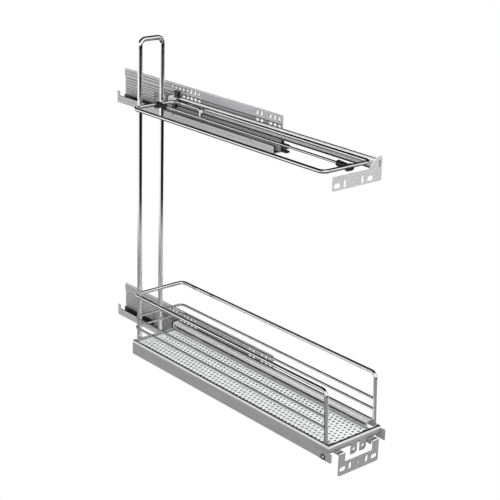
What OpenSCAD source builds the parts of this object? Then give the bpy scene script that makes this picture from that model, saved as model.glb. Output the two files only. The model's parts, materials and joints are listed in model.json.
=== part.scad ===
// Pull-out tray rack for a narrow base cabinet.
// A perforated tray with a wire railing rides on a lower side-mounted runner. A tall wire hoop
// carries a wire loop above it, which rides on a second runner. Both runners are ball-bearing
// telescopes: a wall profile with a race rail, a middle rail and a moving profile, with two rows
// of caged balls between each pair.
// X runs across the rack towards the cabinet wall, Y from the door to the back, Z up.

/* [Tray] */
// Length of the tray from the front lip to the rear wall
tray_len = 472; // [380:1:560]
// Width of the tray body beside the runner
tray_w = 88.5; // [84:0.5:120]
// Height of the tray wall
tray_h = 25; // [22:0.5:40]
// Thickness of the tray sheet
tray_t = 1; // [0.8:0.1:1.5]
// Diameter of the rolled rim
rim_d = 3; // [2.4:0.1:4]
// Height of the perforated floor above the wall's lower edge
floor_z = 20; // [18:0.5:21]
// Thickness of the perforated floor
floor_t = 1; // [0.6:0.1:1.5]
// Width of the ledge that the floor rests on
ledge_w = 7; // [4:0.5:9]
// Height of the front lip's face
lip_h = 10; // [8:0.5:11]
// Depth of the front lip's top flange
lip_depth = 4; // [3:0.5:5]
// Depth of the corner pads that the railing's posts stand on
pad_depth = 13; // [12:0.5:14]
// Width of the corner pads
pad_w = 8; // [7:0.5:10]

/* [Perforation] */
// Diameter of one floor hole
perf_d = 3; // [2:0.1:4]
// Distance between holes along the tray
perf_pitch_y = 8; // [7.5:0.1:20]
// Distance between rows of holes across the tray
perf_pitch_x = 8; // [6:0.1:12]
// Distance from the floor's front and far edges to the first holes
perf_border = 5; // [4:0.5:20]
// Width of the pressed ridge along the middle of the floor
ridge_w = 3; // [2:0.5:5]
// Height of that ridge
ridge_h = 0.6; // [0.3:0.1:1]

/* [Railing] */
// Height of the top wire above the tray's lower edge
rail_z = 106; // [90:1:160]
// Height of the upper thin wire
rail_mid_z = 65; // [58:1:80]
// Height of the lower thin wire
rail_low_z = 48.5; // [40:0.5:54]
// Diameter of the top wire and its posts
rail_d = 6; // [5:0.5:6]
// Diameter of the thin wires
thin_d = 4; // [3:0.5:4]
// Distance from the tray's outer face to the near wires
rail_inset = 3; // [3:0.5:6]
// Distance from the wall to the far wires
rail_wall_gap = 5.5; // [5.5:0.5:8]
// Bend radius of the railing
rail_r = 9; // [7:0.5:14]
// How far the front posts lean back, in degrees
post_lean = 3; // [0:0.5:6]

/* [Uprights] */
// Diameter of the uprights
up_d = 8; // [6:0.5:10]
// Position of the near upright across the tray
up_x = 17.4; // [10:0.1:22]
// Distance between the uprights
up_gap = 43.4; // [35:0.1:50]
// Height of the hoop's crossbar
up_top = 527.5; // [480:0.5:600]
// Bend radius of the hoop
up_r = 10; // [8:0.5:18]

/* [Upper loop] */
// Diameter of the loop's wire
loop_d = 6; // [5:0.5:7]
// Position of the near side rod across the tray
loop_x = -3; // [-5:0.5:0]
// Distance of the front bar behind the tray's front
loop_front = 37; // [36:0.5:60]
// Bend radius of the front corners
loop_front_r = 9; // [7:0.5:14]
// Bend radius of the rear corners
loop_rear_r = 14; // [10:0.5:18]
// Length of the short tail beside the far rod
tail_len = 48; // [40:1:90]
// How far the tail's end turns down
tail_drop = 13; // [10:0.5:15]

/* [Runner] */
// Length of the wall profile
runner_len = 400; // [360:1:450]
// Height of the wall profile
plate_h = 57; // [54:1:70]
// Height of the folded upper band
hem_h = 13.5; // [12:0.5:14]
// Width of the channel at the foot of the wall profile
chan_w = 18.5; // [18.5:0.5:19]
// Height of the channel's near wall
chan_near_h = 12; // [8:0.5:18]
// Sheet thickness of the wall profile
wall_t = 1.5; // [1.2:0.1:1.5]
// Vertical distance between the two runners
level_gap = 393; // [360:1:450]
// Height of the lower channel's underside
chan_z = -7; // [-9:0.5:-6]
// Length of the stop tab at the channel's rear end
stop_len = 6; // [4:0.5:10]
// Height of the stop tab above the channel's near wall
stop_h = 8.5; // [5:0.5:9]
// How far the tray's front stands ahead of the runner when closed
setback = 41; // [36:1:60]
// How far the rack is pulled out as modelled
rest_pull = 198; // [150:1:198]
// Length of the middle rail
middle_len = 310; // [300:1:320]
// Length of the black plug at the middle rail's front end
front_plug_len = 12; // [6:1:16]
// Length of the moving profile
moving_len = 466; // [440:1:480]

/* [Ball races] */
// Diameter of the bearing balls
ball_d = 3; // [2.6:0.1:3.2]
// Radial clearance between a ball and its groove
ball_gap = 0.05; // [0.02:0.01:0.08]
// Depth that a ball sinks into a rail
ball_sink = 0.6; // [0.5:0.05:0.7]
// Wall of the race rail and the moving profile
race_t = 1.2; // [1:0.1:1.3]
// Wall of the middle rail
middle_t = 1.4; // [1.2:0.1:1.6]
// Height of the lower ball rows above the channel's underside
low_ball_h = 9; // [8.5:0.5:9.5]
// Height of the upper ball rows above the channel's underside
high_ball_h = 30; // [29:0.5:31]
// Thickness of the ball cages
cage_t = 0.6; // [0.5:0.1:0.7]
// Distance between balls in a cage
ball_pitch = 20; // [14:1:26]
// Balls in each row of a lower cage
low_balls = 7; // [4:1:8]
// Balls in each row of an upper cage
high_balls = 5; // [3:1:6]

/* [Wall screws] */
// Width of a screw hole
screw_hole_d = 6.5; // [5:0.5:7]
// Height of the slotted screw holes
screw_slot_h = 8.5; // [7.5:0.5:9]
// Distance from the profile's front end to the first hole
hole_first = 7; // [6:0.5:20]
// Distance between neighbouring holes
hole_pitch = 10; // [9:0.5:12]
// Distance from the first front hole to the first rear hole
hole_reach = 192; // [160:32:192]
// Height of the lower row of holes
hole_row_h = 38; // [37:0.5:38.5]
// Distance between the two rows of holes
hole_row_gap = 12.5; // [12:0.5:13]

/* [Door brackets] */
// Sheet thickness of the door brackets
door_t = 1.8; // [1.5:0.1:2.5]
// Width of the strip that the door is screwed to
door_w = 81; // [76:1:90]
// Height of that strip
door_h = 20; // [18:0.5:24]
// Distance between the level slots
level_slot_gap = 64; // [60:1:66]
// Length of a level slot
level_slot_len = 13; // [10:0.5:14]
// Width of a level slot
level_slot_w = 7.5; // [4:0.5:8]
// Distance between the upright slots
tall_slot_gap = 34; // [30:1:38]
// Length of an upright slot
tall_slot_len = 11.5; // [8:0.5:12]
// Width of an upright slot
tall_slot_w = 6; // [4:0.5:7]
// Diameter of the centre hole
pilot_d = 4; // [3:0.5:5]
// Distance of the lower bracket's face ahead of the tray's front
door_reach = 10; // [8:0.5:18]
// Width of the lower bracket's legs
leg_w = 12; // [10:0.5:14]

/* [Divider] */
// Diameter of the divider rod
divider_d = 4; // [3:0.5:5]
// Position of the divider rod across the tray
divider_x = 46; // [30:1:55]
// Width of the divider's clips
clip_w = 8; // [6:0.5:10]
// Depth of the half-moon under the bar
clip_t = 3.5; // [2:0.1:4]

/* [Hidden] */
$fn = 32;

// Clearance between sheet parts that pass or lie beside each other
air = 1;
// Gap left between parts that are welded or clamped together
seat = 0.1;
// Plane of the cabinet wall
wall_x = tray_w + air + chan_w;
// Front end of the wall profiles, and of the middle rails, which go half as far as the rack
middle_setback = 88;
runner_y = setback + rest_pull;
middle_y = runner_y + middle_setback - rest_pull / 2;
// The moving profiles start behind the upper bracket and behind the corner pad
moving_y_upper = loop_front - loop_d / 2 - seat + 0.1;
moving_y_lower = pad_depth + 0.3;
// Section of the telescope, measured from the wall (s) and from the channel's underside (h)
rail_far_s = 2 * wall_t;
rail_near_s = chan_w - wall_t;
rail_mid_s = (rail_far_s + rail_near_s) / 2;
race_inner = (rail_near_s - rail_far_s) / 2 - race_t;
ball_s = race_inner - ball_d / 2 + ball_sink;
middle_half = ball_s - ball_d / 2 + ball_sink;
groove_r = ball_d / 2 + ball_gap;
race_top = low_ball_h + 3.5;
moving_top = high_ball_h + 8;
skirt_bottom = moving_top - 12.5;
middle_bottom = wall_t + race_t + 2.8;
middle_top = moving_top - race_t - 1.8;
// Levels of the upper wire loop and of both channels
loop_z = chan_z + level_gap + moving_top - 1.5;
upper_z = chan_z + level_gap;
// Lines of the railing and the uprights
up_y = tray_len + up_d / 2 + seat;
rail_far_x = wall_x - rail_wall_gap;
post_y = pad_depth - rail_d / 2 - 0.5;
rail_back_y = up_y - up_d / 2 - seat;
// Lines of the upper loop
loop_back = rail_back_y - loop_d / 2;
far_rod_x = wall_x - rail_near_s - loop_d / 2 - seat;
tail_x = far_rod_x - loop_d - 1;
// Cages: the inner one rolls between race rail and middle rail, the outer one above it
cage_end = 6;
inner_cage_reach = 149;
outer_cage_reach = 94;
inner_cage_len = (low_balls - 1) * ball_pitch + 2 * cage_end;
outer_cage_len = (high_balls - 1) * ball_pitch + 2 * cage_end;
inner_cage_y = runner_y + inner_cage_reach - inner_cage_len / 2;
outer_cage_y = middle_y + outer_cage_reach - outer_cage_len / 2;
// Centre of the tray front, on which both door brackets are centred
door_x = (tray_w + chan_w) / 2 - 0.5;
door_z_lower = -13.5;
door_z_upper = upper_z + 17.5;
// Screw pattern of the lower wall profile, which is the part's origin
origin_y = runner_y + hole_first + hole_reach / 2;
origin_z = chan_z + hole_row_h + hole_row_gap / 2;

// Helpers

module place() {
    translate([-wall_x, -origin_y, -origin_z]) children();
}

// Local frame of one runner: X from the wall into the room, Z from the channel's underside
module runner(level) {
    translate([wall_x, 0, chan_z + level * level_gap]) mirror([1, 0, 0]) children();
}

// Extrudes a section drawn in X and Z along Y
module along_y(start, length) {
    translate([0, start + length, 0]) rotate([90, 0, 0]) linear_extrude(length) children();
}

// Extrudes a plate drawn in X and Z, with its front face at the given Y
module plate_y(front, thick) {
    along_y(front, thick) children();
}

// Extrudes a plate drawn in Y and Z along X
module plate_x(start, thick) {
    translate([start, 0, 0]) rotate([90, 0, 90]) linear_extrude(thick) children();
}

module rod_x(x0, x1, y, z, d) {
    translate([x0, y, z]) rotate([0, 90, 0]) cylinder(h = x1 - x0, d = d);
}

module rod_y(x, y0, y1, z, d) {
    translate([x, y1, z]) rotate([90, 0, 0]) cylinder(h = y1 - y0, d = d);
}

module rod_z(x, y, z0, z1, d) {
    translate([x, y, z0]) cylinder(h = z1 - z0, d = d);
}

// Bend of a wire in its own XY plane, from the given angle, a quarter turn unless told otherwise
module bend(angle, r, d, turn = 90) {
    rotate([0, 0, angle]) rotate_extrude(angle = turn, $fn = 48) translate([r, 0]) circle(d = d);
}

// Rectangle with round corners, from its lower left corner
module round_rect(w, h, r) {
    translate([r, 0]) square([w - 2 * r, h]);
    translate([0, r]) square([w, h - 2 * r]);
    for (x = [r, w - r], y = [r, h - r]) translate([x, y]) circle(r);
}

// Sheet folded to a U that opens upwards, from its lower left corner
module channel_2d(width, depth, thick, r) {
    difference() {
        round_rect(width, 2 * depth, r);
        translate([thick, thick]) round_rect(width - 2 * thick, 2 * depth, max(r - thick, 0.3));
        translate([-1, depth]) square([width + 2, 2 * depth]);
    }
}

// Slot with round ends, centred, along X
module slot_2d(length, width) {
    square([length - width, width], center = true);
    for (side = [-1, 1]) translate([side * (length - width) / 2, 0]) circle(d = width);
}

// Wall profile and race rail

// Holes of one row in Y and height: round at the two reference places, slotted elsewhere
module screw_row_2d(rear_count) {
    front = [for (i = [0, 1, 2, 4, 5]) hole_first + i * hole_pitch];
    rear = [for (i = [0 : rear_count - 1]) hole_first + hole_reach + i * hole_pitch];
    for (y = concat(front, rear)) {
        translate([runner_y + y, 0]) {
            if (y == hole_first || y == hole_first + hole_reach) {
                circle(d = screw_hole_d);
            } else {
                rotate(90) slot_2d(screw_slot_h, screw_hole_d);
            }
        }
    }
}

module screw_rows_2d() {
    translate([0, hole_row_h]) screw_row_2d(5);
    translate([0, hole_row_h + hole_row_gap]) screw_row_2d(8);
}

module rivet_places() {
    for (y = [0.08, 0.5, 0.92]) translate([rail_mid_s, runner_y + y * runner_len, 0]) children();
}

rivet_d = 4;
rivet_head_d = 6.5;
rivet_head_h = 0.8;
fold_r = 2;
// Radius of the lines that are rolled into the profiles, and how far each is sunk
line_r = 0.7;

module wall_profile(level) {
    runner(level) difference() {
        union() {
            // Back plate with its folded upper band
            plate_x(0, wall_t) difference() {
                translate([runner_y, fold_r]) square([runner_len, plate_h - wall_t - fold_r]);
                screw_rows_2d();
            }
            plate_x(wall_t, wall_t) difference() {
                translate([runner_y, plate_h - hem_h]) square([runner_len, hem_h - wall_t]);
                screw_rows_2d();
            }
            along_y(runner_y, runner_len) intersection() {
                translate([wall_t, plate_h - wall_t]) circle(wall_t);
                translate([0, plate_h - wall_t]) square([2 * wall_t, wall_t]);
            }
            // Channel, with a rolled line along its near wall and a stop tab at its rear end
            along_y(runner_y, runner_len) difference() {
                channel_2d(chan_w, chan_near_h, wall_t, fold_r);
                translate([chan_w + 0.2, 0.6 * chan_near_h]) circle(line_r);
            }
            plate_x(chan_w - wall_t, wall_t)
                translate([runner_y + runner_len - stop_len, chan_near_h - 1]) square([stop_len, stop_h + 1]);
        }
        rivet_places() translate([0, 0, -1]) cylinder(h = wall_t + 2, d = rivet_d + seat);
    }
}

module race_groove_2d(height) {
    for (side = [-1, 1]) translate([rail_mid_s + side * ball_s, height]) circle(groove_r);
}

module race_rail(level) {
    runner(level) difference() {
        union() {
            along_y(runner_y, runner_len) difference() {
                translate([rail_far_s, wall_t])
                    channel_2d(rail_near_s - rail_far_s, race_top - wall_t, race_t, fold_r);
                race_groove_2d(low_ball_h);
            }
            // Lugs that stop the ball cage at both ends
            for (y = [runner_y + 2, runner_y + runner_len - 5]) {
                translate([rail_mid_s - 2.5, y, wall_t + race_t - 0.2]) cube([5, 3, 2.3]);
            }
        }
        rivet_places() translate([0, 0, wall_t - 1]) cylinder(h = race_t + 2, d = rivet_d + seat);
    }
}

module rail_rivets(level) {
    runner(level) rivet_places() {
        translate([0, 0, -rivet_head_h]) cylinder(h = rivet_head_h, d = rivet_head_d);
        cylinder(h = wall_t + race_t, d = rivet_d);
        translate([0, 0, wall_t + race_t]) cylinder(h = rivet_head_h, d = rivet_head_d);
    }
}

// Middle rail with its end plugs

plug_t = 2;
// Heights of the rolled lines, and start and height of each prong of the front plug
middle_lines = [15.5, 20];
front_prongs = [[middle_bottom, 3.5], [12, 6]];

module middle_bore_2d(gap) {
    half = middle_half - ball_sink - middle_t + 0.4 - gap;
    translate([rail_mid_s - half, middle_bottom + middle_t + gap])
        square([2 * half, middle_top - middle_bottom - 2 * middle_t - 2 * gap]);
}

module middle_section_2d() {
    difference() {
        translate([rail_mid_s - middle_half, middle_bottom])
            round_rect(2 * middle_half, middle_top - middle_bottom, 1);
        race_groove_2d(low_ball_h);
        race_groove_2d(high_ball_h);
        for (side = [-1, 1], height = middle_lines)
            translate([rail_mid_s + side * (middle_half + 0.1), height]) circle(line_r);
    }
}

// Two prongs that stand ahead of the middle rail
module front_prongs_2d() {
    intersection() {
        middle_section_2d();
        for (prong = front_prongs) translate([0, prong[0]]) square([chan_w, prong[1]]);
    }
}

module middle_rail(level) {
    runner(level) along_y(middle_y, middle_len) difference() {
        middle_section_2d();
        middle_bore_2d(0);
    }
}

module middle_plugs(level) {
    runner(level) {
        along_y(middle_y - front_plug_len, front_plug_len) front_prongs_2d();
        along_y(middle_y, 8) middle_bore_2d(seat);
        along_y(middle_y + middle_len, plug_t) middle_section_2d();
        along_y(middle_y + middle_len - 8, 8) middle_bore_2d(seat);
    }
}

// Ball cages and balls

module ball_places(start, count) {
    for (i = [0 : count - 1]) translate([0, start + cage_end + i * ball_pitch, 0]) children();
}

module cage_windows(start, count, height) {
    ball_places(start, count) {
        translate([rail_mid_s - ball_s - 2, 0, height]) rotate([0, 90, 0])
            cylinder(h = 2 * ball_s + 4, d = ball_d + 2 * ball_gap);
    }
}

module inner_cage(level) {
    web = wall_t + race_t + 1.1;
    runner(level) difference() {
        along_y(inner_cage_y, inner_cage_len) translate([rail_mid_s - ball_s - cage_t / 2, web])
            channel_2d(2 * ball_s + cage_t, low_ball_h + 5 - web, cage_t, cage_t);
        cage_windows(inner_cage_y, low_balls, low_ball_h);
    }
}

module outer_cage(level) {
    web = middle_top + 0.6;
    runner(level) difference() {
        along_y(outer_cage_y, outer_cage_len)
            translate([rail_mid_s - ball_s - cage_t / 2, web + cage_t]) mirror([0, 1])
                channel_2d(2 * ball_s + cage_t, web + cage_t - high_ball_h + 3.5, cage_t, cage_t);
        cage_windows(outer_cage_y, high_balls, high_ball_h);
    }
}

module balls(level, start, count, height) {
    runner(level) ball_places(start, count) {
        for (side = [-1, 1]) translate([rail_mid_s + side * ball_s, 0, height]) sphere(d = ball_d);
    }
}

// Moving profile

module moving_section_2d() {
    difference() {
        translate([rail_far_s, moving_top]) mirror([0, 1])
            channel_2d(rail_near_s - rail_far_s, moving_top - skirt_bottom, race_t, fold_r);
        race_groove_2d(high_ball_h);
    }
}

module moving_profile(level, start) {
    runner(level) along_y(start, moving_len) moving_section_2d();
}

cap_t = 4;

module profile_caps() {
    for (end = [[0, moving_y_lower], [1, moving_y_upper]]) {
        runner(end[0]) along_y(end[1] + moving_len, cap_t) {
            translate([rail_far_s, moving_top - race_t - 0.8])
                square([rail_near_s - rail_far_s, race_t + 0.8]);
            translate([rail_far_s, skirt_bottom]) square([race_t, moving_top - skirt_bottom - 1]);
            translate([rail_near_s - race_t, skirt_bottom]) square([race_t, moving_top - skirt_bottom - 1]);
        }
    }
}

// Tray

far_wall_h = tray_h - 0.5;
tab_w = 13;
tab_hole_d = 5;

module rim_line(x0, y0, x1, y1, z) {
    if (x0 == x1) rod_y(x0, y0, y1, z, rim_d);
    if (y0 == y1) rod_x(x0, x1, y0, z, rim_d);
}

module front_tab_2d(x) {
    difference() {
        union() {
            translate([x - tab_w / 2, 2]) square([tab_w, tray_h - lip_h]);
            translate([x - tab_w / 2, -3]) square([tab_w - 4, 6]);
            translate([x + tab_w / 2 - 4, 2]) circle(4);
        }
        translate([x, 4.5]) circle(d = tab_hole_d);
    }
}

module tray_shell() {
    lip_x = wall_x - 1.5;
    slot_end = carrier_y + carrier_depth + 0.3;
    rim_z = tray_h - rim_d / 2;
    difference() {
        union() {
            // Near, rear and far walls
            cube([tray_t, tray_len, tray_h - rim_d / 2]);
            translate([0, tray_len - tray_t, 0]) cube([tray_w, tray_t, tray_h - rim_d / 2]);
            translate([tray_w - tray_t, 0, 0]) cube([tray_t, tray_len, far_wall_h]);
            // Ledges under the floor
            translate([0, 0, floor_z - floor_t - tray_t]) difference() {
                cube([tray_w, tray_len, tray_t]);
                translate([ledge_w, ledge_w, -1])
                    cube([tray_w - 2 * ledge_w, tray_len - 2 * ledge_w, tray_t + 2]);
            }
            // Rolled rim
            rim_line(rim_d / 2, rim_d / 2, rim_d / 2, tray_len - rim_d / 2, rim_z);
            rim_line(rim_d / 2, tray_len - rim_d / 2, tray_w - rim_d / 2, tray_len - rim_d / 2, rim_z);
            rim_line(rim_d / 2, rim_d / 2, lip_x, rim_d / 2, rim_z);
            for (y = [rim_d / 2, tray_len - rim_d / 2]) translate([rim_d / 2, y, rim_z]) sphere(d = rim_d);
            // Front lip with its flange and corner pads
            translate([0, 0, tray_h - lip_h]) cube([lip_x, tray_t, lip_h - rim_d / 2]);
            translate([rim_d / 2, rim_d / 2, tray_h - tray_t])
                cube([lip_x - rim_d / 2, lip_depth - rim_d / 2, tray_t]);
            for (x = [rim_d / 2, lip_x - pad_w]) {
                translate([x, rim_d / 2, tray_h - tray_t]) cube([pad_w, pad_depth - rim_d / 2, tray_t]);
            }
            // Hanging ears under the lip
            plate_y(0, tray_t) {
                front_tab_2d(door_x - 1);
                front_tab_2d(door_x + 17.5);
            }
        }
        // Screw hole of the front carrier, and the slots for its bar and the bracket's far leg
        rod_x(-1, tray_t + 1, carrier_screw_y, carrier_screw_z, carrier_shank_d + 2 * seat);
        for (slot = [[-1, 0], [tray_w - tray_t - 1, door_t]]) {
            translate([slot[0], -1, carrier_z - carrier_t - slot[1] - seat])
                cube([tray_t + 2, slot_end + 1, carrier_t + slot[1] + 2 * seat]);
        }
    }
}

module perforated_floor() {
    x0 = tray_t + 0.2;
    y0 = tray_t + 0.2;
    w = tray_w - 2 * x0;
    l = tray_len - 2 * y0;
    columns = floor((w - 2 * perf_border) / perf_pitch_x);
    rows = floor((l - 2 * perf_border) / perf_pitch_y) - 1;
    edge_x = w - perf_border - columns * perf_pitch_x;
    ridge_x = x0 + edge_x + 4.5 * perf_pitch_x;
    translate([x0, y0, floor_z - floor_t]) linear_extrude(floor_t) difference() {
        square([w, l]);
        for (i = [0 : columns], j = [0 : rows]) {
            translate([edge_x + i * perf_pitch_x, perf_border + (j + 0.5 * (i % 2)) * perf_pitch_y])
                circle(d = perf_d, $fn = 20);
        }
    }
    translate([ridge_x, y0 + perf_border, floor_z]) rotate([-90, 0, 0])
        linear_extrude(l - 2 * perf_border)
            polygon([[-ridge_w / 2, 0.1], [ridge_w / 2, 0.1], [0, -ridge_h]]);
}

hanger_len = 24;

// Plates that carry the tray's far wall on the lower moving profile
module tray_hangers() {
    top = far_wall_h;
    skirt_z = chan_z + skirt_bottom;
    for (part = [0.13, 0.5, 0.87]) {
        translate([tray_w, part * tray_len - hanger_len / 2, skirt_z + 0.5])
            cube([air + wall_t, hanger_len, top - skirt_z - 0.5]);
    }
}

// Railing

// Line of the leaning posts: their place along the tray at a given height
function post_line(z) = post_y + tan(post_lean) * (z - tray_h);

module railing_top_wire() {
    x0 = rail_inset;
    x1 = rail_far_x;
    y1 = rail_back_y - rail_d / 2;
    r = rail_r;
    bend_z = rail_z - r;
    start_y = round(100 * (post_line(bend_z) + r)) / 100;
    foot_z = tray_h + rail_d / 2 * sin(post_lean);
    for (x = [x0, x1]) {
        translate([x, start_y, bend_z]) rotate([90, 0, 90]) {
            bend(90, r, rail_d);
            // Leaning post, mitred where the bend starts and a little thinner, so that the mitre closes
            difference() {
                rotate(180 - post_lean) translate([r, -3, 0]) rotate([-90, 0, 0])
                    cylinder(h = (bend_z - foot_z) / cos(post_lean) + 3, d = rail_d - seat);
                translate([-2 * r, 0, -r]) cube([2 * r, 2 * r, 2 * r]);
            }
        }
        rod_y(x, start_y, y1 - r, rail_z, rail_d);
    }
    translate([x0 + r, y1 - r, rail_z]) bend(90, r, rail_d);
    rod_x(x0 + r, x1 - r, y1, rail_z, rail_d);
    translate([x1 - r, y1 - r, rail_z]) bend(0, r, rail_d);
}

module railing_thin_wire(z) {
    x0 = rail_inset;
    x1 = rail_far_x;
    y0 = post_line(z + thin_d / 2) + rail_d / 2 / cos(post_lean) + seat;
    y1 = rail_back_y - thin_d / 2;
    r = rail_r;
    for (x = [x0, x1]) rod_y(x, y0, y1 - r, z, thin_d);
    translate([x0 + r, y1 - r, z]) bend(90, r, thin_d);
    rod_x(x0 + r, x1 - r, y1, z, thin_d);
    translate([x1 - r, y1 - r, z]) bend(0, r, thin_d);
}

// Hoop of the two uprights
module upright_hoop() {
    x1 = up_x + up_gap;
    for (x = [up_x, x1]) rod_z(x, up_y, 1, up_top - up_r, up_d);
    translate([up_x + up_r, up_y, up_top - up_r]) rotate([90, 0, 0]) bend(90, up_r, up_d);
    translate([x1 - up_r, up_y, up_top - up_r]) rotate([90, 0, 0]) bend(0, up_r, up_d);
    rod_x(up_x + up_r, x1 - up_r, up_y, up_top, up_d);
}

// Upper loop: one wire, from the far rod's rear end round the front and back to the short tail
module upper_loop() {
    z = loop_z;
    fr = loop_front_r;
    rr = loop_rear_r;
    tr = 6;
    tail_end = loop_back - rr - tail_len;
    rod_y(far_rod_x, loop_front + fr, loop_back + loop_d / 2, z, loop_d);
    translate([far_rod_x - fr, loop_front + fr, z]) bend(-90, fr, loop_d);
    rod_x(loop_x + fr, far_rod_x - fr, loop_front, z, loop_d);
    translate([loop_x + fr, loop_front + fr, z]) bend(180, fr, loop_d);
    rod_y(loop_x, loop_front + fr, loop_back - rr, z, loop_d);
    translate([loop_x + rr, loop_back - rr, z]) bend(90, rr, loop_d);
    rod_x(loop_x + rr, tail_x - rr, loop_back, z, loop_d);
    translate([tail_x - rr, loop_back - rr, z]) bend(0, rr, loop_d);
    rod_y(tail_x, tail_end, loop_back - rr, z, loop_d);
    translate([tail_x, tail_end, z - tr]) rotate([90, 0, 90]) bend(90, tr, loop_d);
    rod_z(tail_x, tail_end - tr, z - tail_drop, z - tr, loop_d);
}

// Black clamp that holds the far rod on the upper moving profile: a jaw on top and one below
module rod_clamp() {
    y = tray_len + 3;
    top_z = upper_z + moving_top + seat;
    x_near = wall_x - rail_near_s;
    // Top jaw with a waist between two lobes
    plate_x(x_near + 2, 6) difference() {
        translate([y, top_z]) square([13, 11]);
        for (side = [-2.5, 15.5]) translate([y + side, top_z + 5]) circle(5.5);
    }
    // Lower jaw on the skirt
    translate([x_near - 4.5 - seat, y, upper_z + skirt_bottom - 3])
        cube([4.5, 8, loop_z - loop_d / 2 - seat - upper_z - skirt_bottom + 3]);
}

// Divider: a rod between two clips that slide on the loop's front and rear bars

clip_r = loop_d / 2 + ball_gap;
clip_hook_t = 1.2;
socket_len = 18;
socket_d = divider_d + 3.5;
socket_flare = 2;
socket_floor = 2.5;

// Section of a clip in Y and Z: a half-moon under the bar and a thin hook over its inner side
module clip_section_2d() {
    difference() {
        union() {
            intersection() {
                circle(clip_r + clip_t);
                translate([-20, -20]) square([40, 20]);
            }
            intersection() {
                circle(clip_r + clip_hook_t);
                translate([0, -1]) square([20, 20]);
            }
        }
        circle(clip_r);
    }
}

module divider_clip(bar_y, toward) {
    translate([divider_x, bar_y, loop_z]) mirror([0, toward < 0 ? 1 : 0, 0]) difference() {
        union() {
            plate_x(-clip_w / 2, clip_w) clip_section_2d();
            translate([0, clip_r + 0.4, 0]) rotate([-90, 0, 0])
                cylinder(h = socket_len, d1 = socket_d, d2 = socket_d + socket_flare);
        }
        translate([0, clip_r + socket_floor, 0]) rotate([-90, 0, 0])
            cylinder(h = socket_len, d = divider_d + seat);
    }
}

module divider_rod() {
    end = clip_r + socket_floor + seat;
    rod_y(divider_x, loop_front + end, loop_back - end, loop_z, divider_d);
}

module divider_clips() {
    divider_clip(loop_front, 1);
    divider_clip(loop_back, -1);
}

// Front carrier, its screws and the door brackets

carrier_t = 1.2;
cheek_t = 1.5;
carrier_depth = 11;
carrier_y = tray_t + 0.3;
carrier_z = 12.9;
carrier_screw_y = 9.3;
carrier_screw_z = 5.4;
carrier_shank_d = 4;
carrier_head_d = 6.4;
carrier_recess_d = 9.4;
far_cheek_t = 1;

module front_carrier() {
    // Near cheek outside the tray wall, with the screw's recess
    plate_x(-cheek_t, cheek_t) difference() {
        polygon([[17, 0.5], [22, 4], [28, 13], [-7, 14.5], [-7, 2], [-5.5, 0.5]]);
        translate([carrier_screw_y, carrier_screw_z]) circle(d = carrier_recess_d);
    }
    // Tab inside the tray wall that takes the screw
    plate_x(tray_t + seat, cheek_t) difference() {
        translate([3, 1]) square([carrier_y + carrier_depth - 3, carrier_z - 1]);
        translate([carrier_screw_y, carrier_screw_z]) circle(d = carrier_shank_d + 2 * seat);
    }
    // Bar through the slots of both tray walls, under the floor's front edge
    translate([-cheek_t, carrier_y, carrier_z - carrier_t])
        cube([wall_x - 0.5 + cheek_t, carrier_depth, carrier_t]);
    // Far cheek
    plate_x(wall_x - 0.5 - far_cheek_t, far_cheek_t) translate([-9, 4]) square([18, 17]);
}

module carrier_screws() {
    difference() {
        union() {
            rod_x(-1.8, 0, carrier_screw_y, carrier_screw_z, carrier_head_d);
            rod_x(-0.2, 7, carrier_screw_y, carrier_screw_z, carrier_shank_d);
        }
        for (turn = [0, 90]) {
            translate([-2.8, carrier_screw_y, carrier_screw_z]) rotate([turn, 0, 0])
                translate([0, -2.5, -0.5]) cube([2, 5, 1]);
        }
    }
}

// Slots and centre hole that both door brackets share
module door_holes_2d() {
    for (side = [-1, 1]) {
        translate([side * level_slot_gap / 2, 0]) slot_2d(level_slot_len, level_slot_w);
        translate([side * tall_slot_gap / 2, 0.8]) rotate(90) slot_2d(tall_slot_len, tall_slot_w);
    }
    circle(d = pilot_d);
}

module door_bracket_lower() {
    leg_top = carrier_z - carrier_t;
    bottom = door_z_lower - door_h / 2;
    plate_y(-door_reach, door_t) translate([door_x, 0]) difference() {
        union() {
            translate([-door_w / 2, bottom]) round_rect(door_w, door_h, 3);
            for (side = [-1, 1]) {
                translate([side * (door_w - leg_w) / 2 - leg_w / 2, door_z_lower])
                    square([leg_w, leg_top - door_z_lower]);
            }
        }
        translate([0, door_z_lower - 0.5]) door_holes_2d();
    }
    // Legs turned back under the carrier
    for (side = [-1, 1]) {
        translate([door_x + side * (door_w - leg_w) / 2 - leg_w / 2, -door_reach, leg_top - door_t])
            cube([leg_w, door_reach + 12, door_t]);
    }
}

module door_bracket_upper() {
    front = loop_front - loop_d / 2 - seat - door_t;
    half = door_w / 2;
    bottom = door_z_upper - door_h / 2;
    top = bottom + door_h;
    ear_x = wall_x - 1.5 - door_x;
    ear_top = upper_z + moving_top + 6;
    ear_r = 5;
    plate_y(front, door_t) translate([door_x, 0]) difference() {
        union() {
            translate([-half, bottom]) round_rect(half + ear_x, door_h, 2);
            polygon([
                [half - 18, top - 4], [ear_x, top - 4], [ear_x, ear_top], [ear_x - ear_r, ear_top],
                [half, ear_top - 5], [half - 10, top + 2]
            ]);
        }
        translate([ear_x - ear_r, ear_top - ear_r]) difference() {
            square(ear_r + 1);
            circle(ear_r);
        }
        translate([0, door_z_upper - 3.5]) door_holes_2d();
        translate([ear_x - 4.5, door_z_upper + 15]) rotate(90) slot_2d(tall_slot_len - 1.5, tall_slot_w - 2);
    }
}

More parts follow.
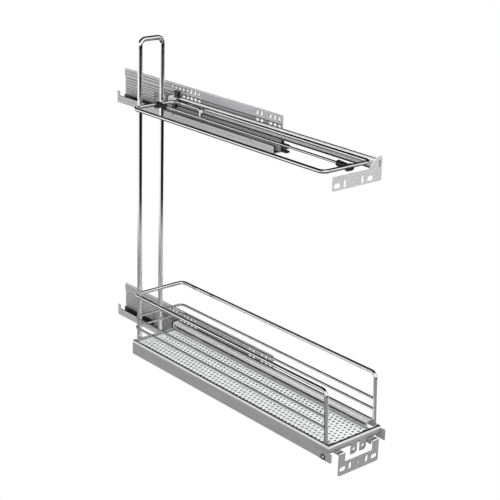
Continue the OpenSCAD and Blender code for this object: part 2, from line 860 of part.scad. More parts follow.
place() color("darkgray") wall_profile(0);  // wall_profile_lower
place() color("darkgray") wall_profile(1);  // wall_profile_upper
place() color("silver") race_rail(0);  // race_rail_lower
place() color("silver") race_rail(1);  // race_rail_upper
place() color("gray") rail_rivets(0);  // rail_rivets_lower
place() color("gray") rail_rivets(1);  // rail_rivets_upper
place() color("gray") middle_rail(0);  // middle_rail_lower
place() color("gray") middle_rail(1);  // middle_rail_upper
place() color("black") middle_plugs(0);  // middle_plugs_lower
place() color("black") middle_plugs(1);  // middle_plugs_upper
place() color("goldenrod") inner_cage(0);  // inner_cage_lower
place() color("goldenrod") inner_cage(1);  // inner_cage_upper
union() {  // inner_balls_lower
    place() color("white") balls(0, inner_cage_y, low_balls, low_ball_h);
}
union() {  // inner_balls_upper
    place() color("white") balls(1, inner_cage_y, low_balls, low_ball_h);
}
place() color("goldenrod") outer_cage(0);  // outer_cage_lower
place() color("goldenrod") outer_cage(1);  // outer_cage_upper
union() {  // outer_balls_lower
    place() color("white") balls(0, outer_cage_y, high_balls, high_ball_h);
}
union() {  // outer_balls_upper
    place() color("white") balls(1, outer_cage_y, high_balls, high_ball_h);
}
union() {  // moving_profile_lower
    place() color("lightgray") moving_profile(0, moving_y_lower);
}
union() {  // moving_profile_upper
    place() color("lightgray") moving_profile(1, moving_y_upper);
}
place() color("black") profile_caps();
place() color("darkgray") tray_shell();
place() color("white") perforated_floor();
place() color("darkgray") tray_hangers();
place() color("silver") railing_top_wire();
union() {  // railing_upper_wire
    place() color("silver") railing_thin_wire(rail_mid_z);
}
union() {  // railing_lower_wire
    place() color("silver") railing_thin_wire(rail_low_z);
}
place() color("silver") upright_hoop();
place() color("silver") upper_loop();
place() color("black") rod_clamp();
place() color("silver") divider_rod();
place() color("black") divider_clips();
place() color("darkgray") front_carrier();
place() color("silver") carrier_screws();
place() color("darkgray") door_bracket_lower();
place() color("lightgray") door_bracket_upper();
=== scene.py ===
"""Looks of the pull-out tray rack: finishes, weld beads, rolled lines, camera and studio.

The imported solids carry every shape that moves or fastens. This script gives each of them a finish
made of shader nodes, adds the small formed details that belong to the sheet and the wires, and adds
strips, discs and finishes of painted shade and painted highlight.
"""

import json
import logging
import math
from dataclasses import dataclass, replace
from enum import Enum
from typing import ClassVar, Iterable, Mapping, Protocol

import bmesh
import bpy
from mathutils import Matrix, Vector

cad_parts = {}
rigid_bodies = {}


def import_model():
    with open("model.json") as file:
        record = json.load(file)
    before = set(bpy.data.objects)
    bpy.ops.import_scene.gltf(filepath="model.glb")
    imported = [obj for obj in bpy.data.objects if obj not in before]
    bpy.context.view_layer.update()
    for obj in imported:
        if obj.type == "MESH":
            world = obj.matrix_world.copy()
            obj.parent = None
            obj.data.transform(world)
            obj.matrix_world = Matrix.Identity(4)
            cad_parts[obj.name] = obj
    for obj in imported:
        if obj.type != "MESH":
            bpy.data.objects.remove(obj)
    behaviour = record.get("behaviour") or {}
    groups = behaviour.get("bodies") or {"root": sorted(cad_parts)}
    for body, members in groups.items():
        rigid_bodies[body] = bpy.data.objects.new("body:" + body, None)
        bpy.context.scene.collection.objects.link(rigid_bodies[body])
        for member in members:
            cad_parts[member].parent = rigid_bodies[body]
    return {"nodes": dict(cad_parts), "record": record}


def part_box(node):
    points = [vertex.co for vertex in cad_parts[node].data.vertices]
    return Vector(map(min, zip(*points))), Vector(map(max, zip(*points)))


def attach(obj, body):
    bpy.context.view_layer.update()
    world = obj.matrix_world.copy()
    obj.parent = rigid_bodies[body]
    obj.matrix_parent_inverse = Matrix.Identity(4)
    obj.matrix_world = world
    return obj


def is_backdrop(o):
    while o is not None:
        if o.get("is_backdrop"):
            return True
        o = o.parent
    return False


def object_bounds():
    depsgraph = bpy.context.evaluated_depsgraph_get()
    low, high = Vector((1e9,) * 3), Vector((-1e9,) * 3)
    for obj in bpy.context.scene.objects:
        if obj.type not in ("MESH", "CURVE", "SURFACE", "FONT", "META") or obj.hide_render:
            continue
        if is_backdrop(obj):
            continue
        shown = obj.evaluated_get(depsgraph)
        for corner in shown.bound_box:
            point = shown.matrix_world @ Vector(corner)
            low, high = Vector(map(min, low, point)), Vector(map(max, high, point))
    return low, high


LOG = logging.getLogger("tray_rack")
MM = 0.001
WHITE = (1.0, 1.0, 1.0, 1.0)
BOTH_SIDES = (-1.0, 1.0)

Colour = tuple[float, float, float]
Point = tuple[float, float, float]
Pair = tuple[float, float]
Socket = bpy.types.NodeSocket


class Slot(Enum):
    """Material slots named in the part's record."""

    ZINC = "zinc_sheet"
    ROLLED = "rolled_steel"
    FASTENER = "fastener"
    BLACK = "black_plastic"
    CAGE = "cage_steel"
    BALL = "ball_steel"
    LIGHT = "light_painted"
    GREY = "grey_painted"
    BRIGHT = "bright_sheet"
    CHROME = "chrome_wire"


class Body(Enum):
    """Bodies that the added pieces ride on."""

    RACK = "rack"
    RUNNERS = "runners"


class Sum(Enum):
    """Sums that a math node works out."""

    ADD = "ADD"
    LESS = "SUBTRACT"
    TIMES = "MULTIPLY"
    MOST = "MAXIMUM"
    WHOLE = "ROUND"
    SWING = "PINGPONG"


class Wiring:
    """Adds and links the nodes of one material or world."""

    MIX_FACTOR = 0
    MIX_FIRST = 6
    MIX_SECOND = 7
    MIX_RESULT = 2

    def __init__(self, owner: bpy.types.Material | bpy.types.World) -> None:
        """Switches the owner to nodes and empties its tree.

        Args:
            owner: Material or world that takes the nodes.
        """
        owner.use_nodes = True
        self.tree = owner.node_tree
        self.tree.nodes.clear()

    def add(
        self, kind: str, inputs: Mapping[str | int, object] | None = None, **settings: str
    ) -> bpy.types.Node:
        """Adds a node.

        Args:
            kind: Type of the node.
            inputs: Socket or fixed value of each input that isn't left as it comes.
            **settings: Options of the node, which are set first.

        Returns:
            The new node.
        """
        node = self.tree.nodes.new(kind)
        for name, option in settings.items():
            setattr(node, name, option)
        for name, value in (inputs or {}).items():
            if isinstance(value, bpy.types.NodeSocket):
                self.tree.links.new(value, node.inputs[name])
            else:
                node.inputs[name].default_value = value
        return node

    def axes(self, kind: str, output: str) -> tuple[Socket, ...]:
        """Splits a vector of the surface or the world.

        Args:
            kind: Type of the node that gives the vector.
            output: Name of its output.

        Returns:
            The sockets of X, Y and Z.
        """
        vector = self.add(kind).outputs[output]
        return tuple(self.add("ShaderNodeSeparateXYZ", {"Vector": vector}).outputs)

    def math(self, operation: Sum, first: Socket, *others: Socket | float) -> Socket:
        """Works out a sum from left to right.

        Args:
            operation: The sum.
            first: First value.
            *others: The values after it, or none where the sum takes one value.

        Returns:
            The socket that holds the result.
        """
        result = first
        for other in others or (0.0,):
            node = self.add("ShaderNodeMath", {0: result, 1: other}, operation=operation.value)
            result = node.outputs["Value"]
        return result

    def ranged(self, value: Socket, source: Pair, target: Pair, curve: str = "LINEAR") -> Socket:
        """Maps one range on another and holds the value at its ends.

        Args:
            value: Socket that holds the value.
            source: Range of the value, rising.
            target: What its ends become.
            curve: Interpolation between the ends.

        Returns:
            The socket that holds the result.
        """
        ends = {
            "Value": value,
            "From Min": source[0],
            "From Max": source[1],
            "To Min": target[0],
            "To Max": target[1],
        }
        return self.add("ShaderNodeMapRange", ends, interpolation_type=curve).outputs["Result"]

    def band(self, value: Socket, none: float, full: float) -> Socket:
        """Adds a soft step.

        Args:
            value: Socket that holds the value.
            none: Value at which the step is 0.
            full: Value at which the step is 1.

        Returns:
            The socket that holds the step.
        """
        target = (1.0, 0.0) if none > full else (0.0, 1.0)
        return self.ranged(value, (min(none, full), max(none, full)), target, "SMOOTHSTEP")

    def tinted(self, factor: Socket, under: Socket, tint: Colour) -> Socket:
        """Lays a colour over another.

        Args:
            factor: Socket that is 1 where the colour shows.
            under: Socket of the colour below.
            tint: The colour.

        Returns:
            The socket of the mixed colour.
        """
        inputs = {self.MIX_FACTOR: factor, self.MIX_FIRST: under, self.MIX_SECOND: (*tint, 1.0)}
        return self.add("ShaderNodeMix", inputs, data_type="RGBA").outputs[self.MIX_RESULT]

    def blended(self, factor: Socket, under: Socket, over: Socket) -> Socket:
        """Blends two shaders.

        Args:
            factor: Socket that is 1 where only the second shows.
            under: First shader.
            over: Second shader.

        Returns:
            The socket of the blend.
        """
        inputs = {"Fac": factor, 1: under, 2: over}
        return self.add("ShaderNodeMixShader", inputs).outputs["Shader"]

    def backdrop(self, colour: Socket | tuple[float, ...], strength: float = 1.0) -> Socket:
        """Adds a background.

        Args:
            colour: Its colour, or the socket that gives it.
            strength: Its strength.

        Returns:
            The socket of the background.
        """
        inputs = {"Color": colour, "Strength": strength}
        return self.add("ShaderNodeBackground", inputs).outputs["Background"]


@dataclass(frozen=True)
class Punching:
    """Pattern of the floor's punched holes, round which painted shade darkens the sheet.

    Attributes:
        x: Place of the first column of holes in metres.
        y: Place of the first row in metres.
        pitch: Distance between columns and between rows in metres.
        x_end: Place of the last column in metres.
        y_end: Place of the last row in metres.
        rim: Radius at which the painted shade round a hole ends in metres.
        core: Share of the rim's squared radius inside which it is fully dark.
        margin: Share of the rim's radius at which the pattern's outer border is passed.
    """

    x: float = -97.7 * MM
    y: float = -335.8 * MM
    pitch: float = 8.0 * MM
    x_end: float = -25.7 * MM
    y_end: float = 108.2 * MM
    rim: float = 2.3 * MM
    core: float = 0.6
    margin: float = 0.9

    def hole_shade(self, wiring: Wiring) -> Socket:
        """Adds the nodes that find the painted shade round the holes. Every other column is half a
        pitch further on.

        Args:
            wiring: Nodes of the material.

        Returns:
            The socket that is 1 where the painted shade lies and 0 elsewhere.
        """
        x, y, _ = wiring.axes("ShaderNodeTexCoord", "Object")
        across = wiring.math(Sum.TIMES, wiring.math(Sum.ADD, x, -self.x), 1.0 / self.pitch)
        column = wiring.math(Sum.WHOLE, across)
        half_step = wiring.math(Sum.TIMES, wiring.math(Sum.SWING, column, 1.0), -0.5)
        along = wiring.math(Sum.TIMES, wiring.math(Sum.ADD, y, -self.y), 1.0 / self.pitch)
        along = wiring.math(Sum.ADD, along, half_step)
        side = wiring.math(Sum.LESS, across, column)
        ahead = wiring.math(Sum.LESS, along, wiring.math(Sum.WHOLE, along))
        square = wiring.math(
            Sum.ADD, wiring.math(Sum.TIMES, side, side), wiring.math(Sum.TIMES, ahead, ahead)
        )
        share = self.rim / self.pitch
        found = wiring.band(square, share * share, self.core * share * share)
        inner = self.margin * self.rim
        for value, low, high in ((x, self.x, self.x_end), (y, self.y, self.y_end)):
            past_low = wiring.band(value, low - self.rim, low - inner)
            before_high = wiring.band(value, high + self.rim, high + inner)
            found = wiring.math(Sum.TIMES, found, past_low, before_high)
        return found


@dataclass(frozen=True)
class PaintedRim:
    """Painted light on the near rim and the front lip of a tray.

    Its sides carry a painted highlight; its top, a painted reflection of the dark opening overhead.

    Attributes:
        above: Soft step in height above which the painted light lies, in metres.
        near: Soft step in X that ends on the near rim, in metres.
        front: Soft step in Y that ends on the front lip, in metres.
        turn: Range of the normal's upward part in which the tone goes from side to top.
        tones: Tone of the painted highlight on the sides and of the painted reflection on the top.
        metallic: Metallic value of the shader.
        roughness: Roughness of the shader.
    """

    above: Pair = (-16.8 * MM, -16.5 * MM)
    near: Pair = (-103.8 * MM, -104.6 * MM)
    front: Pair = (-337.2 * MM, -338.0 * MM)
    turn: Pair = (0.45, 0.65)
    tones: Pair = (0.97, 0.03)
    metallic: float = 0.1
    roughness: float = 0.3

    def over(self, wiring: Wiring, sheet: Socket) -> Socket:
        """Lays the painted highlight and painted reflection over the plain sheet.

        Args:
            wiring: Nodes of the material.
            sheet: Shader of the plain sheet.

        Returns:
            The socket of the blended shader.
        """
        x, y, z = wiring.axes("ShaderNodeTexCoord", "Object")
        edges = wiring.math(Sum.MOST, wiring.band(x, *self.near), wiring.band(y, *self.front))
        place = wiring.math(Sum.TIMES, wiring.band(z, *self.above), edges)
        upward = wiring.axes("ShaderNodeNewGeometry", "Normal")[2]
        # Painted light: a bright tone on the sides stands in for a highlight, and a dark tone on
        # the top for a reflection.
        metal = wiring.add("ShaderNodeBsdfPrincipled", {
            "Base Color": wiring.ranged(upward, self.turn, self.tones),
            "Metallic": self.metallic,
            "Roughness": self.roughness,
        })
        return wiring.blended(place, sheet, metal.outputs["BSDF"])


@dataclass(frozen=True)
class Finish:
    """A surface finish built from shader nodes.

    Attributes:
        slot: Material slot that the finish belongs to.
        dark: Linear colour of the darker places.
        light: Linear colour of the lighter places.
        metallic: Metallic value of the shader.
        roughness: Middle roughness.
        spread: How far the roughness varies to each side.
        grain: Scale of the fine grain along X, Y and Z.
        bump: Height of the grain in the bump node.
        coat: Weight of the clear coat.
        edge: Linear colour of the painted shade on upright faces and round punched holes, or None
            where the sheet has none.
        painted_rim: Painted highlight and painted reflection on the rim and lip, or None where the
            sheet has none.
        name: Name of the material, or an empty text for the slot's name.
    """

    slot: Slot
    dark: Colour
    light: Colour
    metallic: float
    roughness: float
    spread: float
    grain: Point
    bump: float = 0.0
    coat: float = 0.0
    edge: Colour | None = None
    painted_rim: PaintedRim | None = None
    name: str = ""

    COAT_ROUGHNESS: ClassVar[float] = 0.12
    NOISE_DETAIL: ClassVar[float] = 6.0
    NOISE_ROUGHNESS: ClassVar[float] = 0.6
    COLOUR_ENDS: ClassVar[Pair] = (0.32, 0.68)
    ROUGHNESS_ENDS: ClassVar[Pair] = (0.3, 0.7)
    BUMP_STRENGTH: ClassVar[float] = 0.35
    UPRIGHT: ClassVar[Pair] = (0.35, 0.15)

    @property
    def title(self) -> str:
        """Returns the material's name."""
        return self.name or self.slot.value

    def build(self) -> None:
        """Makes the material, which objects find by its title."""
        wiring = Wiring(bpy.data.materials.new(self.title))
        grain = self._grain(wiring)
        roughness = (self.roughness - self.spread, self.roughness + self.spread)
        inputs = {
            "Base Color": self._colour(wiring, grain),
            "Roughness": wiring.ranged(grain, self.ROUGHNESS_ENDS, roughness),
            "Metallic": self.metallic,
            "Coat Weight": self.coat,
            "Coat Roughness": self.COAT_ROUGHNESS,
        }
        if self.bump > 0.0:
            relief = {"Strength": self.BUMP_STRENGTH, "Distance": self.bump, "Height": grain}
            inputs["Normal"] = wiring.add("ShaderNodeBump", relief).outputs["Normal"]
        surface = wiring.add("ShaderNodeBsdfPrincipled", inputs).outputs["BSDF"]
        if self.painted_rim is not None:
            surface = self.painted_rim.over(wiring, surface)
        wiring.add("ShaderNodeOutputMaterial", {"Surface": surface})

    def _grain(self, wiring: Wiring) -> Socket:
        """Adds the stretched noise that the other nodes share.

        Args:
            wiring: Nodes of the material.

        Returns:
            The socket that holds the noise.
        """
        place = wiring.add("ShaderNodeTexCoord").outputs["Object"]
        stretch = wiring.add("ShaderNodeMapping", {"Vector": place, "Scale": self.grain})
        noise = wiring.add("ShaderNodeTexNoise", {
            "Vector": stretch.outputs["Vector"],
            "Scale": 1.0,
            "Detail": self.NOISE_DETAIL,
            "Roughness": self.NOISE_ROUGHNESS,
        })
        return noise.outputs["Fac"]

    def _colour(self, wiring: Wiring, grain: Socket) -> Socket:
        """Adds the colour, which drifts between the dark and the light tone.

        Args:
            wiring: Nodes of the material.
            grain: Socket of the shared noise.

        Returns:
            The socket that holds the colour.
        """
        ramp = wiring.add("ShaderNodeValToRGB", {"Fac": grain})
        for index, tone in enumerate((self.dark, self.light)):
            ramp.color_ramp.elements[index].position = self.COLOUR_ENDS[index]
            ramp.color_ramp.elements[index].color = (*tone, 1.0)
        colour = ramp.outputs["Color"]
        if self.edge is None:
            return colour
        # Painted shade: upright faces, such as the walls of the punched holes, and a ring round
        # each hole are tinted dark.
        upward = wiring.axes("ShaderNodeNewGeometry", "True Normal")[2]
        upright = wiring.band(wiring.math(Sum.TIMES, upward, upward), *self.UPRIGHT)
        colour = wiring.tinted(upright, colour, self.edge)
        return wiring.tinted(Punching().hole_shade(wiring), colour, self.edge)


BLACK = Finish(Slot.BLACK, (0.006, 0.006, 0.007), (0.014, 0.014, 0.015), 0.0, 0.38, 0.08,
               (900.0, 900.0, 900.0), 0.00005, 0.1)
GREY = Finish(Slot.GREY, (0.36, 0.36, 0.36), (0.43, 0.43, 0.43), 0.05, 0.42, 0.05,
              (300.0, 20.0, 300.0), 0.00003)
CHROME = Finish(Slot.CHROME, (0.86, 0.86, 0.87), (0.96, 0.96, 0.97), 1.0, 0.05, 0.02,
                (160.0, 30.0, 160.0))

SLOT_FINISHES: tuple[Finish, ...] = (
    Finish(Slot.ZINC, (0.52, 0.52, 0.53), (0.68, 0.68, 0.69), 0.2, 0.40, 0.06,
           (40.0, 6.0, 420.0), 0.00004),
    Finish(Slot.ROLLED, (0.26, 0.26, 0.26), (0.36, 0.36, 0.36), 0.3, 0.38, 0.06,
           (500.0, 8.0, 500.0), 0.00003),
    Finish(Slot.FASTENER, (0.62, 0.62, 0.62), (0.80, 0.80, 0.80), 0.9, 0.25, 0.08,
           (300.0, 300.0, 300.0)),
    BLACK,
    Finish(Slot.CAGE, (0.13, 0.13, 0.14), (0.22, 0.22, 0.23), 0.5, 0.35, 0.06,
           (200.0, 20.0, 200.0)),
    Finish(Slot.BALL, (0.70, 0.70, 0.71), (0.82, 0.82, 0.83), 1.0, 0.08, 0.02,
           (400.0, 400.0, 400.0)),
    Finish(Slot.LIGHT, (0.66, 0.66, 0.66), (0.76, 0.76, 0.76), 0.1, 0.42, 0.05,
           (60.0, 8.0, 300.0), 0.00003),
    GREY,
    # The floor's sheet carries painted shade on its upright faces and round its punched holes.
    Finish(Slot.BRIGHT, (0.84, 0.86, 0.85), (0.95, 0.96, 0.96), 0.05, 0.40, 0.05,
           (60.0, 5.0, 60.0), 0.00003, edge=(0.012, 0.012, 0.012)),
    CHROME,
)

# The railing's thin wires are plated thinner than the other wires, so they look greyer.
PLATED = Finish(Slot.CHROME, (0.58, 0.58, 0.58), (0.70, 0.70, 0.70), 1.0, 0.34, 0.05,
                (300.0, 40.0, 300.0), 0.00002, name="plated_wire")

# The tray's near rim and front lip are rolled round, with a painted highlight on their sides and a
# painted dark reflection on their top.
TRAY = replace(GREY, painted_rim=PaintedRim(), name="tray_sheet")

# Lines that are rolled into the wall profiles are coloured darker than the zinc as painted shade.
SHADED_LINE = Finish(Slot.ZINC, (0.16, 0.16, 0.16), (0.24, 0.24, 0.24), 0.2, 0.45, 0.05,
                     (200.0, 10.0, 200.0), name="painted_shade_line")

# Painted shade: nearly black strips under hems, in gaps, in grooves and along edges where shade
# falls.
PAINTED_SHADE = Finish(Slot.GREY, (0.008, 0.008, 0.008), (0.016, 0.016, 0.016), 0.0, 0.60, 0.05,
              (200.0, 10.0, 200.0), name="painted_shade")

# Painted highlight, nearly white, along the bent edges of the moving profiles and the lower bracket
# and on the carrier's screw.
PAINTED_HIGHLIGHT = Finish(Slot.LIGHT, (0.90, 0.90, 0.90), (0.98, 0.98, 0.98), 0.0, 0.35, 0.05,
                     (200.0, 10.0, 200.0), name="painted_highlight")

# The race rails lie in the shade of their channels; their nearly black colour is painted shade.
SHADED_RAIL = Finish(Slot.ROLLED, (0.030, 0.030, 0.032), (0.060, 0.060, 0.062), 0.5, 0.34, 0.06,
               (500.0, 8.0, 500.0), 0.00003, name="painted_shade_rail")

FINISHES = (*SLOT_FINISHES, PLATED, TRAY, SHADED_LINE, PAINTED_SHADE, PAINTED_HIGHLIGHT, SHADED_RAIL)

SPECIAL: dict[str, Finish] = {
    "race_rail_lower": SHADED_RAIL,
    "race_rail_upper": SHADED_RAIL,
    "railing_upper_wire": PLATED,
    "railing_lower_wire": PLATED,
    "tray_shell": TRAY,
}


class Assembly(Protocol):
    """What every sub-assembly can do."""

    def build(self) -> list[bpy.types.Object]:
        """Makes the pieces and returns them."""


def scene_object(name: str, data: bpy.types.ID) -> bpy.types.Object:
    """Adds an object to the scene.

    Args:
        name: Name of the object.
        data: Its mesh, camera or lamp.

    Returns:
        The new object.
    """
    piece = bpy.data.objects.new(name, data)
    bpy.context.scene.collection.objects.link(piece)
    return piece


def mesh_object(
    name: str, mesh: bmesh.types.BMesh, finish: Finish, body: Body
) -> bpy.types.Object:
    """Turns a bmesh into a piece that rides on a body and has a finish.

    Args:
        name: Name of the piece.
        mesh: The bmesh, which is freed.
        finish: Finish of the piece.
        body: Body that the piece moves with.

    Returns:
        The new piece.
    """
    data = bpy.data.meshes.new(name)
    mesh.to_mesh(data)
    mesh.free()
    for polygon in data.polygons:
        polygon.use_smooth = True
    piece = scene_object(name, data)
    piece.data.materials.append(bpy.data.materials[finish.title])
    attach(piece, body.value)
    return piece


@dataclass(frozen=True)
class WeldBead:
    """Size of a weld bead, in metres.

    Attributes:
        radius: Half of the bead's width.
        length: Half of its length along the joint.
        height: How far it stands from the joint.
    """

    radius: float = 0.8 * MM
    length: float = 1.6 * MM
    height: float = 0.7 * MM

    RIPPLE: ClassVar[float] = 0.12
    RIPPLES: ClassVar[float] = 9.0
    RIPPLE_WAY: ClassVar[Point] = (1.0, 0.7, 0.4)

    def add_to(self, mesh: bmesh.types.BMesh, centre: Vector, along: Vector) -> None:
        """Adds a rippled bead.

        Args:
            mesh: Mesh that takes the bead.
            centre: Place of the bead.
            along: Direction of the joint, which is X or Z.
        """
        start = len(mesh.verts)
        bmesh.ops.create_icosphere(mesh, subdivisions=2, radius=1.0)
        mesh.verts.ensure_lookup_table()
        way = Vector(self.RIPPLE_WAY)
        for vertex in mesh.verts[start:]:
            ripple = 1.0 + self.RIPPLE * math.sin(self.RIPPLES * vertex.co.dot(way))
            size = Vector((self.radius, self.height, self.radius)) * ripple
            if along.x > 0.5:
                size.x = self.length * ripple
            else:
                size.z = self.length * ripple
            vertex.co = centre + Vector(a * b for a, b in zip(vertex.co, size))


@dataclass(frozen=True)
class Welds:
    """Weld beads where the wires meet each other and the tray.

    Attributes:
        bead: Size of one bead.
        half_leg: Half of the hoop's thickness in metres.
        sunk: Distance of a bar's beads from its rear face, inwards, in metres.
        bar_rise: Distance of a bead above or below a bar's centre, as a share of half the bar.
        post_rise: The same at the posts.
        tray_rises: Heights of the beads on the tray in metres.
        tray_side: Distance of the tray's beads from a leg's centre in metres.
        tray_ahead: Distance of the tray's beads in front of the hoop in metres.
    """

    bead: WeldBead = WeldBead()
    half_leg: float = 4.0 * MM
    sunk: float = 0.4 * MM
    bar_rise: float = 0.75
    post_rise: float = 0.7
    tray_rises: Pair = (6.0 * MM, 17.0 * MM)
    tray_side: float = 2.0 * MM
    tray_ahead: float = 0.05 * MM

    HALF_THICK: ClassVar[float] = 3.0 * MM
    HALF_THIN: ClassVar[float] = 2.0 * MM
    THICK_BARS: ClassVar[tuple[str, ...]] = ("upper_loop", "railing_top_wire")
    THIN_BARS: ClassVar[tuple[str, ...]] = ("railing_upper_wire", "railing_lower_wire")
    LEVEL: ClassVar[Vector] = Vector((1.0, 0.0, 0.0))
    UPRIGHT: ClassVar[Vector] = Vector((0.0, 0.0, 1.0))

    def places(self) -> Iterable[tuple[Vector, Vector]]:
        """Lists the joints that carry a bead.

        Yields:
            The centre of each bead and the direction that it runs in.
        """
        hoop_low, hoop_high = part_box("upright_hoop")
        tray_low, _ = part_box("tray_shell")
        across = (hoop_low.x + self.half_leg, hoop_high.x - self.half_leg)
        for bar in (*self.THICK_BARS, *self.THIN_BARS):
            half = self.HALF_THIN if bar in self.THIN_BARS else self.HALF_THICK
            low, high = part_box(bar)
            centre = high.z - half
            for x in across:
                for side in BOTH_SIDES:
                    place = (x, high.y - self.sunk, centre + side * self.bar_rise * half)
                    yield Vector(place), self.LEVEL
            if bar in self.THIN_BARS:
                for x in (low.x + half, high.x - half):
                    for side in BOTH_SIDES:
                        yield Vector((x, low.y, centre + side * self.post_rise * half)), self.LEVEL
        y = hoop_low.y - self.tray_ahead
        for x in across:
            for rise in self.tray_rises:
                for side in BOTH_SIDES:
                    place = (x + side * self.tray_side, y, tray_low.z + rise)
                    yield Vector(place), self.UPRIGHT

    def build(self) -> list[bpy.types.Object]:
        """Makes all beads as one piece.

        Returns:
            The piece, in a list.
        """
        mesh = bmesh.new()
        for centre, along in self.places():
            self.bead.add_to(mesh, centre, along)
        return [mesh_object("weld_beads", mesh, CHROME, Body.RACK)]


class Facing(Enum):
    """Sides that a rolled line can stand out from."""

    ROOM = (-1.0, 0.0, 0.0)
    TOP = (0.0, 0.0, 1.0)


@dataclass(frozen=True)
class Form:
    """Cross-section of a rolled line.

    Attributes:
        facing: Side that the line stands out from.
        width: Width in metres.
        height: Height over its sheet in metres.
    """

    facing: Facing = Facing.ROOM
    width: float = 1.1 * MM
    height: float = 0.35 * MM


@dataclass(frozen=True)
class Ridge:
    """A low, round line on a sheet, with tapered ends.

    Attributes:
        start: One end in metres.
        end: Other end in metres.
        form: Cross-section.
    """

    start: Point
    end: Point
    form: Form = Form()

    STEPS: ClassVar[int] = 12
    CORNERS: ClassVar[int] = 6
    TAPER: ClassVar[float] = 12.0
    END_SHARE: ClassVar[float] = 0.05
    SINK: ClassVar[float] = 0.02 * MM

    def add_to(self, mesh: bmesh.types.BMesh) -> None:
        """Adds the ridge.

        Args:
            mesh: Mesh that takes the ridge.
        """
        first, last = Vector(self.start), Vector(self.end)
        out = Vector(self.form.facing.value)
        across = out.cross(last - first).normalized()
        rings = []
        for step in range(self.STEPS + 1):
            part = step / self.STEPS
            swell = min(1.0, self.TAPER * min(part, 1.0 - part) + self.END_SHARE)
            ring = []
            for corner in range(self.CORNERS + 1):
                angle = math.pi * corner / self.CORNERS
                rise = self.form.height * swell * math.sin(angle) - self.SINK
                aside = self.form.width / 2 * math.cos(angle)
                ring.append(mesh.verts.new(first.lerp(last, part) + out * rise + across * aside))
            rings.append(ring)
        for near, far in zip(rings, rings[1:]):
            for corner in range(self.CORNERS):
                mesh.faces.new((near[corner], far[corner], far[corner + 1], near[corner + 1]))


def along_y(x: float, z: float, ends: Pair, form: Form = Form()) -> Ridge:
    """Makes a ridge along Y.

    Args:
        x: Place across the rack in metres.
        z: Height in metres.
        ends: Front end and rear end in metres.
        form: Cross-section.

    Returns:
        The ridge.
    """
    return Ridge((x, ends[0], z), (x, ends[1], z), form)


def ridge_object(
    name: str, ridges: Iterable[Ridge], finish: Finish, body: Body = Body.RACK
) -> bpy.types.Object:
    """Makes ridges as one piece.

    Args:
        name: Name of the piece.
        ridges: The ridges.
        finish: Finish of the piece.
        body: Body that the piece moves with.

    Returns:
        The new piece.
    """
    mesh = bmesh.new()
    for ridge in ridges:
        ridge.add_to(mesh)
    return mesh_object(name, mesh, finish, body)


@dataclass(frozen=True)
class WallProfileLines:
    """Rolled lines and strips of one wall profile, all coloured as painted shade.

    Attributes:
        node: Wall profile that carries them.
        count: Number of fine lines on the rear part of the plate.
        rear_share: Share of the profile's length that the fine lines cover, from the rear.
        sheet: Thickness of the sheet in metres.
        fold: Height of the folded band in metres.
        foot: Height of the lowest fine line in metres.
        clearance: Distance from the highest of them to the folded band in metres.
        fold_drops: Distances of the band's own lines from its top in metres.
        front_inset: Distance of the painted shade strips from the front end in metres.
        rear_inset: Distance of all lines from the rear end in metres.
        under_fold: Distance of the painted shade strip below the folded band in metres.
        edge_inset: Distance of the top edge's line from the wall in metres.
        fold_form: Cross-section of the painted shade strip under the band.
        edge_form: Cross-section of the top edge's line.
    """

    node: str
    count: int = 7
    rear_share: float = 0.44
    sheet: float = 1.5 * MM
    fold: float = 13.5 * MM
    foot: float = 14.0 * MM
    clearance: float = 2.5 * MM
    fold_drops: Pair = (4.0 * MM, 8.5 * MM)
    front_inset: float = 1.0 * MM
    rear_inset: float = 2.0 * MM
    under_fold: float = 0.9 * MM
    edge_inset: float = 1.0 * MM
    fold_form: Form = Form(Facing.ROOM, 1.9 * MM, 0.5 * MM)
    edge_form: Form = Form(Facing.TOP, 1.4 * MM, 0.1 * MM)

    def seam(self) -> float:
        """Returns the place along Y where the fine lines start, in metres."""
        low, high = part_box(self.node)
        return high.y - self.rear_share * (high.y - low.y)

    def fine_lines(self) -> Iterable[Ridge]:
        """Lists the fine lines of the rear part.

        Yields:
            One ridge for each line.
        """
        low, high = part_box(self.node)
        ends = (self.seam(), high.y - self.rear_inset)
        plate = high.x - self.sheet
        bottom = low.z + self.foot
        step = (high.z - self.fold - self.clearance - bottom) / (self.count - 1)
        for index in range(self.count):
            yield along_y(plate, bottom + index * step, ends)
        for drop in self.fold_drops:
            yield along_y(plate - self.sheet, high.z - drop, ends)

    def shade_strips(self) -> Iterable[Ridge]:
        """Lists the painted shade strip under the folded band and the one on the top edge.

        Yields:
            One ridge for each line.
        """
        low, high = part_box(self.node)
        start = low.y + self.front_inset
        under = high.z - self.fold - self.under_fold
        yield along_y(high.x - self.sheet, under, (start, self.seam()), self.fold_form)
        ends = (start, high.y - self.rear_inset)
        yield along_y(high.x - self.edge_inset, high.z, ends, self.edge_form)

    def build(self) -> list[bpy.types.Object]:
        """Makes the fine lines as one piece and the painted shade strips as another.

        Returns:
            Both pieces.
        """
        return [
            ridge_object(f"{self.node}_lines", self.fine_lines(), SHADED_LINE, Body.RUNNERS),
            ridge_object(f"{self.node}_seams", self.shade_strips(), PAINTED_SHADE, Body.RUNNERS),
        ]


